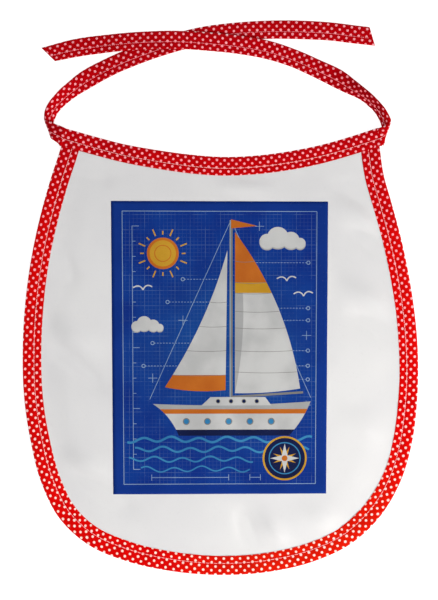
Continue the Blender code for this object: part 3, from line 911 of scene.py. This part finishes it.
def cloth_outline(inset):
    """The closed outline of the cloth, that far inside the tape's outer fold all round."""
    lines = []
    for points in (SIDES_AND_HEM, NECKLINE[::-1]):
        line = evenly(curve_through(points), OUTLINE_STEP)
        line = line + inward(line) * inset
        start = line[0] + unit(line[0] - line[1]) * inset
        end = line[-1] + unit(line[-1] - line[-2]) * inset
        lines.append(np.vstack([start, line, end]))
    sides, neck = lines
    half, middle = len(sides) // 2, len(neck) // 2
    low, from_neck, right = crossing(sides[half:], neck)
    first_side, to_neck, left = crossing(sides[:half], neck[middle:])
    side_run = sides[first_side + 1:half + low + 1]
    neck_run = neck[from_neck + 1:middle + to_neck + 1]
    return np.vstack([left, side_run, right, neck_run])


def inside(points, outline):
    """Which of the points are inside the closed outline."""
    x, y = points[:, 0], points[:, 1]
    found = np.zeros(len(points), dtype=bool)
    for (x0, y0), (x1, y1) in edges_of(outline):
        if y0 == y1:
            continue
        crosses = (y0 > y) != (y1 > y)
        found ^= crosses & (x < (x1 - x0) * (y - y0) / (y1 - y0) + x0)
    return found


def distance_to(points, outline):
    """How far each point is from the closed outline."""
    nearest = np.full(len(points), np.inf)
    for a, b in edges_of(outline):
        run = b - a
        t = np.clip(((points - a) @ run) / (run @ run), 0.0, 1.0)
        nearest = np.minimum(nearest, np.linalg.norm(points - a - t[:, None] * run, axis=1))
    return nearest


def grid_inside(outline, step, margin):
    """Points of a staggered grid that lie inside the outline and not close to it."""
    low, high = outline.min(axis=0), outline.max(axis=0)
    rows = np.arange(low[1], high[1], step * math.sqrt(0.75))
    points = []
    for i, y in enumerate(rows):
        x = np.arange(low[0] + (i % 2) * step / 2, high[0], step)
        points.append(np.column_stack([x, np.full(len(x), y)]))
    points = np.vstack(points)
    points = points[inside(points, outline)]
    return points[distance_to(points, outline) > margin]


def ring_of(count, start=0):
    """Pairs of point numbers round a closed shape."""
    return [(start + i, start + (i + 1) % count) for i in range(count)]


# The kind of triangulation that fills only the outline, and how close points are to count as one
INSIDE_ONLY = 1
SAME_PLACE = 1e-7


def triangles_inside(points, edges):
    """Triangles on the points, with the edges kept, inside the outline that comes first."""
    made = delaunay_2d_cdt([Vector(p) for p in points], edges, [], INSIDE_ONLY, SAME_PLACE)
    return np.array([(v.x, v.y) for v in made[0]]), [list(face) for face in made[2]]


def sheet_mesh(name, flat, faces, top, bottom):
    """A closed sheet over a flat triangulation, between two sets of heights."""
    count = len(flat)
    verts = np.vstack([np.column_stack([flat, top]), np.column_stack([flat, bottom])])
    edges = dict.fromkeys((a, b) for face in faces for a, b in zip(face, face[1:] + face[:1]))
    under = [[i + count for i in face[::-1]] for face in faces]
    walls = [[b, a, a + count, b + count] for a, b in edges if (b, a) not in edges]
    return closed_mesh(name, verts, faces + under + walls)


# How high the face swells, and where from the rim that starts and over what length it is reached
SWELL = 1.2 * MM
SWELL_FROM = 11 * MM
SWELL_OVER = 20 * MM
# The same for its soft folds, the factor by which they stand out more than their table says, and
# the lowest that the face lies
FOLDS_FROM = 9 * MM
FOLDS_OVER = 13 * MM
FOLDS_OUT = 1.5
LOWEST = -0.1 * MM
# Each soft fold: two ends in the photograph's pixels, width and height in mm
WRINKLES = [
    ((40, 334), (118, 404), 5.5, -1.35), ((44, 312), (108, 362), 6.5, 1.05),
    ((46, 236), (80, 296), 6.0, -0.95), ((62, 464), (142, 518), 6.0, -1.45),
    ((58, 444), (118, 482), 6.5, 0.95), ((70, 152), (116, 190), 6.0, -0.80),
    ((322, 176), (392, 212), 5.5, -1.20), ((332, 196), (400, 246), 6.5, 1.15),
    ((338, 216), (402, 268), 6.0, -1.25), ((334, 276), (408, 322), 7.5, 1.15),
    ((342, 302), (402, 348), 6.0, -1.20), ((234, 500), (258, 558), 5.0, -1.15),
    ((254, 502), (296, 556), 5.5, 1.20), ((296, 498), (352, 540), 7.5, 0.70),
    ((190, 166), (284, 198), 7.0, 1.10), ((330, 400), (396, 452), 8.0, 0.70),
]


def swell(points, outline):
    """How far the face cloth stands above its height under the tape, in metres."""
    x, y = points.T
    from_rim = distance_to(points, outline)
    folds = np.zeros(len(points))
    for start, end, width, tall in WRINKLES:
        a, b = np.array(from_photo(*start)), np.array(from_photo(*end))
        run = b - a
        t = ((points - a) @ run) / (run @ run)
        aside = (points - a) @ left_of(run) / np.linalg.norm(run)
        ridge = np.exp(-((aside / (width * MM)) ** 2)) * eased(t / 0.5) * eased((1 - t) / 0.5)
        folds += FOLDS_OUT * tall * MM * ridge
    broad = 0.55 * np.sin(x / 0.041 + y / 0.067 + 0.6) + 0.45 * np.sin(x / 0.083 - y / 0.035 + 2.1)
    fine = np.sin(x / 0.013 - y / 0.019 + 1.0) * np.sin(x / 0.031 + y / 0.016)
    free = eased((from_rim - SWELL_FROM) / SWELL_OVER)
    height = (0.75 + 0.30 * broad + 0.08 * fine) * SWELL * free
    return np.maximum(height + folds * eased((from_rim - FOLDS_FROM) / FOLDS_OVER), LOWEST)


def lumps(flat, height, size):
    """Noise over flat points whose lumps are that size."""
    return np.array([noise.noise(Vector((x, y, height)) / size) for x, y in flat])


def panel(inset, step, margin):
    """Triangles that fill the cloth: their points and faces, the height that the face swells to
    at each point, and how far each is from the outline."""
    outline = cloth_outline(inset)
    grid = grid_inside(outline, step, margin)
    flat, faces = triangles_inside(np.vstack([outline, grid]), ring_of(len(outline)))
    return flat, faces, FACE_TOP + swell(flat, outline), distance_to(flat, outline)


def build_panels(face_finish, towel_finish):
    """The face cloth and the towelling behind it."""
    flat, faces, height, _ = panel(FACE_INSET, FACE_STEP, FACE_MARGIN)
    mesh = sheet_mesh("face_cloth", flat, faces, height, height - FACE_CLOTH)
    face = add_piece(mesh, face_finish)

    flat, faces, height, from_rim = panel(TOWEL_INSET, TOWEL_STEP, TOWEL_MARGIN)
    free = eased((from_rim - TOWEL_FREE_FROM) / TOWEL_FREE_OVER)
    loops, tufts = lumps(flat, 0.0, LOOP), lumps(flat, 0.01, TUFT)
    full = np.maximum(TOWEL_LOW - (loops * 0.42 + tufts * 0.25) * MM, 0.0)
    bottom = TOWEL_HELD * (1 - free) + full * free
    mesh = sheet_mesh("towelling", flat, faces, height - FACE_CLOTH - TOWEL_GAP, bottom)
    return face, add_piece(mesh, towel_finish)


# The printed picture


# Each ink's darker and lighter colour
INKS = {
    "margin": (rgb(7, 47, 130), rgb(11, 52, 138)),
    "field": (rgb(4, 41, 129), rgb(8, 56, 142)),
    "line": (rgb(128, 156, 186), rgb(150, 174, 198)),
    "water": (rgb(46, 118, 168), rgb(60, 138, 186)),
    "white": (rgb(184, 184, 183), rgb(206, 206, 204)),
    "shade": (rgb(160, 161, 160), rgb(172, 172, 171)),
    "grey": (rgb(118, 116, 112), rgb(132, 130, 126)),
    "orange": (rgb(184, 96, 28), rgb(200, 112, 36)),
    "yellow": (rgb(190, 140, 34), rgb(206, 156, 46)),
    "navy": (rgb(10, 20, 58), rgb(16, 28, 72)),
}
# Where each motif stands, in mm from the picture's centre
SUN = (-37.0, 62.0)
CLOUDS = [((40.0, 70.0), 1.0), ((-48.0, 14.0), 0.7)]
COMPASS = (43.0, -73.0)
GULLS = [(44.0, 44.0), (55.0, 34.0), (-50.0, 38.0)]
MAST = 7.5
# Middle, drop and radius of each of a cloud's puffs
PUFFS = [(-9, 0, 5.0), (-2, 2.6, 7.0), (6.5, 0.8, 5.6), (12.5, -1.2, 3.6)]
# Width of a fine drawn line
FINE = 0.34
# Dotted lines: where each starts, its height, and where it ends
LEADERS = [
    (20.0, 56.0, 58.0), (30.0, 26.0, 58.0), (38.0, 18.0, 58.0), (44.0, -2.0, 58.0),
    (48.0, -12.0, 58.0), (52.0, -21.0, 58.0), (0.0, 45.0, -24.0), (-6.0, 30.0, -34.0),
    (-20.0, 3.0, -44.0), (-28.0, -12.0, -50.0),
]


def pointing(turn):
    return np.array([math.cos(turn), math.sin(turn)])


def box(wide, tall):
    """A rectangle's corners, from the lower left one anticlockwise, given half its sides."""
    return np.array([(-wide, -tall), (wide, -tall), (wide, tall), (-wide, tall)])


def disc(centre, radius, count=56):
    turns = np.linspace(0, 2 * math.pi, count, endpoint=False)
    return np.column_stack([centre[0] + radius * np.cos(turns), centre[1] + radius * np.sin(turns)])


def target(centre, *rings):
    """Discs round one centre, the largest first, each in its own ink."""
    for ink, radius in rings:
        yield ink, disc(centre, radius)


def stroke(points, width=FINE):
    """A drawn line of that width as a closed shape."""
    line = np.array(points, dtype=float)
    side = inward(line) * width / 2
    return np.vstack([line - side, (line + side)[::-1]])


def curve(start, end, bulge, count=18):
    """Points from start to end along an arc that stands off the chord by bulge, to its left."""
    start, end = np.array(start), np.array(end)
    t = np.linspace(0, 1, count)[:, None]
    run = end - start
    side = left_of(run) / np.linalg.norm(run)
    return start + run * t + side * bulge * 4 * t * (1 - t)


def slice_of(shape, low, high):
    """The part of a closed shape between two heights."""
    for level, keep in ((low, 1), (high, -1)):
        kept = []
        for a, b in edges_of(shape):
            above = ((a[1] - level) * keep, (b[1] - level) * keep)
            if above[0] >= 0:
                kept.append(a)
            if above[0] * above[1] < 0:
                kept.append(a + (b - a) * above[0] / (above[0] - above[1]))
        shape = np.array(kept)
    return shape


def banded(shape, *bands):
    """A shape cut into bands, each from one height to another in its own ink."""
    for low, high, ink in bands:
        yield ink, slice_of(shape, low, high)


def frame_shapes():
    """The field inside its margin, the line round it, and a ruler's ticks down the left side."""
    corners = box(*FIELD_HALF)
    yield "field", corners
    for edge in edges_of(corners):
        yield "line", stroke(edge, 0.40)
    yield "line", stroke([(-57, -80), (-57, 80)])
    for k in range(17):
        y = 80 - 10 * k
        yield "line", stroke([(-57, y), (-52.5 if k % 4 == 0 else -54.8, y)])
    for x, y in ((26, 80), (57, 8), (-24, 18), (57, -38), (-44, -20)):
        for dx, dy in ((3, 0), (0, 3)):
            yield "line", stroke([(x - dx, y - dy), (x + dx, y + dy)], 0.32)
    # Dimension lines: one along the boat, and dotted ones that lead out to small rings
    for x0, x1 in ((-45.0, 6.0), (20.0, 27.0)):
        yield "line", stroke([(x0, -85.5), (x1, -85.5)])
        for x in (x0, x1):
            yield "line", stroke([(x, -87.5), (x, -83.5)])
    for start, y, end in LEADERS:
        way = math.copysign(1.0, end - start)
        for k in range(int(abs(end - start) / 2.0)):
            x = start + 2.0 * k * way
            yield "line", stroke([(x, y), (x + 1.1 * way, y)])
        yield "line", disc((end, y), 1.3, 24)
        yield "field", disc((end, y), 0.85, 20)


def sky_shapes():
    """Sun with its rays, clouds and gulls."""
    yield from target(SUN, ("orange", 10.4), ("yellow", 8.6), ("orange", 5.6), ("yellow", 5.0))
    for k in range(16):
        way = pointing(2 * math.pi * k / 16)
        reach = 17.0 if k % 2 else 14.8
        yield "yellow", stroke([SUN + way * 12.4, SUN + way * reach], 0.9)
    for (x, y), size in CLOUDS:
        for ink, drop in (("shade", -0.9), ("white", 0.0)):
            for dx, dy, radius in PUFFS:
                yield ink, disc((x + dx * size, y + (dy + drop) * size), radius * size, 40)
    for x, y in GULLS:
        for dx, dy, bulge in ((-6.5, 1.4, -1.9), (6.0, 2.0, 1.9)):
            yield "white", stroke(curve((x, y), (x + dx, y + dy), bulge), 0.8)


def sail_shapes():
    """The boat's mast stays, and its two sails in cloths."""
    head, tack, clew = (MAST + 2.6, 76.0), (MAST + 2.6, -30.0), (53.0, -27.0)
    main = np.vstack([[tack], curve(tack, clew, -1.0), curve(clew, head, -7.0)[1:]])
    jib_head, jib_tack, jib_clew = (MAST - 2.4, 64.0), (-36.0, -26.0), (MAST - 3.6, -28.0)
    jib = np.vstack([curve(jib_head, jib_tack, 4.0), curve(jib_tack, jib_clew, -1.6)[1:]])
    for foot in ((-46.0, -34.0), (60.0, -33.0)):
        yield "line", stroke([(MAST, 84.0), foot])
    yield from banded(main, (-40, 36, "white"), (36, 43, "yellow"), (43, 90, "orange"))
    yield from banded(jib, (-40, -18, "orange"), (-18, 90, "white"))
    # Each cloth of the mainsail is shaded towards the mast
    luff = np.vstack([[tack], curve(tack, head, -5.5)[1:]])
    yield "shade", slice_of(luff, -30, 36)
    for sail, bulge, levels in (
        (main, -0.7, (-16.0, -2.0, 13.0, 24.0, 36.0, 43.0, 57.0)),
        (jib, -0.5, (-18.0, -2.0, 14.0, 30.0)),
    ):
        for level in levels:
            edge = slice_of(sail, level, 90)
            x = edge[edge[:, 1] < level + 0.01][:, 0]
            yield "grey", stroke(curve((x.min(), level), (x.max(), level), bulge, 8), 0.30)


def boat_shapes():
    """The sailing boat: sails, mast, boom, pennant, hull and cabin."""
    yield from sail_shapes()
    yield "grey", stroke([(MAST, -38.0), (MAST, 84.0)], 2.0)
    yield "line", stroke([(MAST - 0.5, -38.0), (MAST - 0.5, 84.0)], 0.45)
    yield "grey", stroke([(MAST, -32.5), (55.0, -29.5)], 1.5)
    yield "orange", np.array([(MAST, 84.5), (MAST + 17.0, 80.2), (MAST, 78.5)])
    deck = curve((-44.0, -37.0), (60.0, -35.5), -1.6)
    stern = curve((60.0, -35.5), (46.0, -58.0), 1.2)[1:]
    bow = curve((-27.0, -58.0), (-44.0, -37.0), -2.2)
    hull = np.vstack([deck, stern, bow])
    yield from banded(hull, (-70, -54, "navy"), (-54, -43.5, "white"), (-43.5, -40.5, "orange"),
                      (-40.5, -30, "shade"))
    yield "white", np.array([(-12.0, -38.2), (34.0, -38.0), (30.0, -32.6), (-6.0, -32.6)])
    # Windows and portholes
    for ink, y, outer, inner, count, places in (
        ("navy", -35.3, 1.5, 1.05, 28, (-1.0, 7.5, 16.0, 24.5)),
        ("water", -48.6, 2.3, 1.7, 32, (-22.0, -8.0, 6.0, 20.0, 34.0)),
    ):
        for x in places:
            yield "grey", disc((x, y), outer, count)
            yield ink, disc((x, y), inner, count)


def sea_shapes():
    """Rows of waves under the boat."""
    rows = (-60.5, -61, 61), (-67.0, -56, 59), (-73.5, -60, 22), (-80.0, -52, 20)
    for k, (low, start, end) in enumerate(rows):
        x = np.linspace(start, end, int((end - start) * 1.2))
        y = low + 1.5 * np.sin(x / 2.9 + 1.9 * k) + 0.5 * np.sin(x / 7.1 + k)
        yield "water", stroke(np.column_stack([x, y]), 1.5 - 0.2 * k)


def compass_shapes():
    """A round compass rose."""
    yield from target(COMPASS, ("yellow", 14.6), ("navy", 13.4), ("water", 10.6), ("navy", 9.9))
    middle = np.array(COMPASS)
    for count, first, long, wide, ink in (
        (8, math.pi / 8, 8.2, 1.3, "yellow"), (4, 0.0, 9.6, 2.3, "white"),
    ):
        for k in range(count):
            way = pointing(2 * math.pi * k / count + first)
            side = left_of(way)
            yield ink, np.array([middle - side * wide, middle + way * long, middle + side * wide])
    yield "orange", disc(COMPASS, 1.9, 28)


def ink(name, low, high):
    """Transfer ink on cloth: the weave shows through, and it has worn off in tiny specks."""
    f = Finish("print_" + name)
    axes = f.axes(f.place)[:2]
    weave = f.weave(*axes, FACE_GRAIN)
    colour = f.mix(f.ramp(f.noise(25 * MM, 3.0), 0.3, 0.7), low, high)
    if name == "field":
        # A fine drawing grid with stronger main lines, printed unevenly, and a lighter middle
        for pitch, width, strength in ((5.0 * MM, 0.30 * MM, 0.16), (1.25 * MM, 0.22 * MM, 0.10)):
            aside = (f.math("PINGPONG", x, pitch) for x in axes)
            lines = (f.ramp(x, 0.4 * width, width, 1.0, 0.0) for x in aside)
            uneven = f.ramp(f.noise(11 * MM, 3.0, 0.6), 0.36, 0.62, 0.15, 1.0)
            drawn = f.product(f.math("MAXIMUM", *lines), uneven, strength)
            colour = f.mix(drawn, colour, INKS["line"][0])
        lighter = f.ramp(f.away_from(PRINT_MIDDLE), 0.012, 0.085, 0.16, 0.0)
        colour = f.mix(lighter, colour, INKS["water"][0])
    worn = f.ramp(f.noise(0.7 * MM, 4.0, 0.7), 0.66, 0.74, 0.0, 0.30)
    colour = f.mix(worn, colour, FACE_WHITES[2])
    colour = f.mix(f.ramp(weave, 0.0, 0.6, 0.14, 0.0), colour, INKS["navy"][0])
    normal = f.bump(weave, 0.05 * MM, 0.6)
    return f.done(colour, f.ramp(weave, 0.0, 1.0, 0.85, 0.7), normal, specular=0.08)


def finely(shape, step):
    """The same closed shape with points no further apart than step."""
    runs = []
    for a, b in edges_of(shape):
        parts = max(1, math.ceil(np.linalg.norm(b - a) / step))
        runs.append(a + (b - a) * (np.arange(parts) / parts)[:, None])
    return np.vstack(runs)


def on_bib(points):
    """Places on the bib of points given in mm from the picture's centre."""
    corners = np.array([from_photo(*c) for c in PRINT_CORNERS])
    s, t = ((points / PRINT_HALF + 1) / 2).T[..., None]
    low = corners[0] + (corners[1] - corners[0]) * s
    high = corners[3] + (corners[2] - corners[3]) * s
    return low + (high - low) * t


def build_print():
    """The print as a thin sheet of ink that follows the face cloth."""
    rim = box(*PRINT_HALF)
    shapes = [*frame_shapes(), *sky_shapes(), *sea_shapes(), *boat_shapes(), *compass_shapes()]
    points, edges, count = [], [], 0
    for shape in (rim, *(shape for _, shape in shapes)):
        shape = finely(shape, PRINT_STEP)
        edges += ring_of(len(shape), count)
        points.append(shape)
        count += len(shape)
    grid = grid_inside(rim, PRINT_STEP, PRINT_STEP / 2)
    flat, faces = triangles_inside(np.vstack(points + [grid]), edges)
    centres = np.array([flat[face].mean(axis=0) for face in faces])
    names = list(INKS)
    chosen = np.zeros(len(faces), dtype=np.int32)
    for name, shape in shapes:
        chosen[inside(centres, shape)] = names.index(name)
    flat = on_bib(flat)
    height = FACE_TOP + swell(flat, cloth_outline(FACE_INSET))
    mesh = sheet_mesh("printed_picture", flat, faces, height + INK_TOP, height + INK_UNDER)
    obj = add_piece(mesh, *(ink(name, *pair) for name, pair in INKS.items()))
    # The underside's faces follow the top's in the same order, and the walls are margin
    indices = np.zeros(len(mesh.polygons), dtype=np.int32)
    indices[:len(faces)] = chosen
    indices[len(faces):2 * len(faces)] = chosen
    mesh.polygons.foreach_set("material_index", indices)
    return obj


# Studio


# The lights, all aimed at the middle: name, place, size, power and colour
LIGHTS = [
    ("key", (0.643, -0.69, 0.62), (0.6, 0.6), 16.9, (1.0, 0.98, 0.955)),
    ("skim", (0.38, 1.08, 0.32), (0.5, 0.3), 2.7, (1.0, 0.985, 0.97)),
    ("fill", (-0.95, 0.5, 1.3), (1.2, 1.2), 7.2, (0.95, 0.975, 1.0)),
]
AIR = (0.93, 0.95, 1.0, 1.0)
AIR_POWER = 0.244
# The floor's half width, and how far under the cloth it lies
FLOOR_HALF = 3
FLOOR_GAP = 0.05 * MM


def build_camera():
    """Straight above, with the photograph's scale on the bib."""
    data = bpy.data.cameras.new("camera")
    data.lens = 85
    data.sensor_width = 36
    height = PHOTO[1] * PIXEL * data.lens / data.sensor_width
    camera = put(data)
    x, y = from_photo(PHOTO[0] / 2, PHOTO[1] / 2)
    camera.location = (x, y, height + FACE_TOP)
    bpy.context.scene.camera = camera


def area_light(name, place, size, power, colour):
    data = bpy.data.lights.new(name, "AREA")
    data.shape = "RECTANGLE"
    data.size, data.size_y = size
    data.energy = power
    data.color = colour
    light = put(data)
    light.location = place
    light.rotation_mode = "QUATERNION"
    light.rotation_quaternion = (-Vector(place)).to_track_quat("-Z", "Y")


def build_studio():
    """A pale floor, a soft warm key light from the lower right, a cool fill, and a weak low light
    from above the neck that skims over the cloth."""
    for light in LIGHTS:
        area_light(*light)
    world = bpy.data.worlds.new("studio_air")
    world.use_nodes = True
    back = world.node_tree.nodes["Background"]
    back.inputs["Color"].default_value = AIR
    back.inputs["Strength"].default_value = AIR_POWER
    bpy.context.scene.world = world
    bpy.context.scene.view_settings.view_transform = "Standard"
    mesh = bpy.data.meshes.new("studio_floor")
    corners = [(x, y, 0) for x, y in box(FLOOR_HALF, FLOOR_HALF).tolist()]
    mesh.from_pydata(corners, [], [(0, 1, 2, 3)])
    floor = add_piece(mesh, floor_paper())
    floor.location.z = -FLOOR_GAP


# Putting it together


def main():
    build_camera()
    build_studio()
    finish, thread_finish = dotted_tape(), thread()
    sides = evenly(curve_through(SIDES_AND_HEM), RING_STEP)
    travelled = distances(sides)
    sides = sides[(travelled > TUCKED_IN) & (travelled < travelled[-1] - TUCKED_IN)]
    tables = SIDE_WIDTHS, SIDE_ROWS, SIDE_ROWS_OUT, SIDE_PAINTED_SHADE
    edge, edge_tape = rim_tape("edge_tape", sides, tables, SIDE_PITCH, 0.3, finish, under_neck)
    # The neck tape is one ring longer at each end
    line = evenly(curve_through(NECKLINE[::-1]), RING_STEP)
    line = np.vstack([2 * line[0] - line[1], line, 2 * line[-1] - line[-2]])
    tables = NECK_WIDTHS, NECK_ROWS, NECK_ROWS_OUT, NECK_PAINTED_SHADE
    neck, neck_tape = rim_tape("neck_tape", line, tables, NECK_PITCH, 1.1, finish, over_sides)
    # The neck tape's dots run on over the left tie, and the other way over the right one
    mapped = neck_tape.travelled[-1] * TIE_PITCH / NECK_PITCH, False
    left, left_tape = tie_tape(
        "tie_left_tape", LEFT_TIE, LEFT_ARCH, mapped, LEFT_ROWS_OUT, LEFT_PAINTED_SHADE, 0.7, finish)
    right, right_tape = tie_tape(
        "tie_right_tape", RIGHT_TIE, RIGHT_ARCH, (TIE_PITCH / 2, True), RIGHT_ROWS_OUT,
        RIGHT_PAINTED_SHADE, 1.9, finish, rest_over(LEFT_TIE))

    seams = [
        *both_seams("edge", edge_tape, thread_finish, SIDE_SEAM_FROM),
        *both_seams("neck", neck_tape, thread_finish),
    ]
    left_seams = both_seams("tie_left", left_tape, thread_finish)
    right_seams = both_seams("tie_right", right_tape, thread_finish)
    face, towel = build_panels(face_cloth(), towelling())
    picture = build_print()

    for piece in [left, right, edge, neck, face, towel, picture, *seams, *left_seams, *right_seams]:
        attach(piece, "root")
    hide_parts("tie_left")
    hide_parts("tie_right")
    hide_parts("edge_binding")
    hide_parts("neck_binding")
    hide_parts("front_panel")
    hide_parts("back_panel")
    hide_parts("print_film")

    for obj, tape, stitches in ((left, left_tape, left_seams), (right, right_tape, right_seams)):
        middle = (tape.folds + tape.opens) / 2
        path = evenly(middle, 4 * MM)
        length = float(distances(middle)[-1])
        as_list(stitches)


main()
